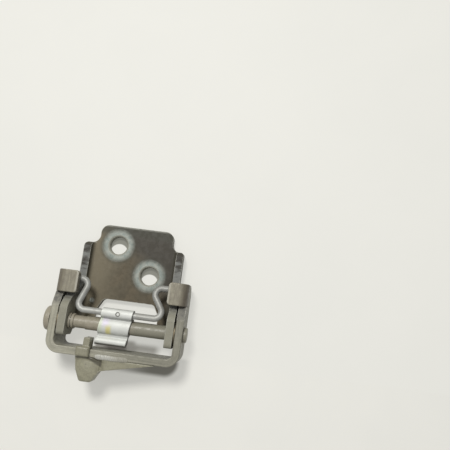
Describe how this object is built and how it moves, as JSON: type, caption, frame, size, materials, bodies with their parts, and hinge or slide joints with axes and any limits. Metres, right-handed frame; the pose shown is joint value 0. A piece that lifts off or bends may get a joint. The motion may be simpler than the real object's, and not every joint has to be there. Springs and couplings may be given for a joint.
{
  "type": "car door hinge",
  "caption": "Car door hinge: bolted leaf with upturned sides, pin, U bracket with folded tabs, and a bent wire spring with a clip that grips the pin.",
  "frame": {"origin": "middle of the leaf's two bolt holes, on the face the leaf bolts on by", "axes": "+X along the pin towards its riveted end, +Y from the pin towards the leaf's free end, +Z out of the bolted face towards the pin"},
  "size_m": [0.0843, 0.0939, 0.026],
  "materials": {
    "primed_strip": "satin olive grey primer, worn at the edges",
    "primed_leaf": "dark brown olive primer",
    "primed_pin": "satin olive grey primer over steel",
    "weld": "bare weld with thin paint",
    "bush_metal": "dull bronze",
    "spring_steel": "satin plated wire",
    "zinc_plate": "bright zinc plate"
  },
  "bodies": {
    "leaf": {"leaf_bracket": "primed_leaf", "hinge_pin": "primed_pin", "pin_collar": "primed_pin"},
    "bracket": {"u_bracket": "primed_strip", "left_bush": "bush_metal", "right_bush": "bush_metal", "check_spring": "spring_steel", "spring_clip": "zinc_plate", "stop_lug": "primed_strip", "weld_bead": "weld"}
  },
  "joints": [
    {"name": "hinge_swing", "type": "hinge", "parent": "leaf", "child": "bracket", "pos_m": [0, -0.0406, 0.016], "axis": [1, 0, 0], "range_deg": [-6, 75]}
  ]
}
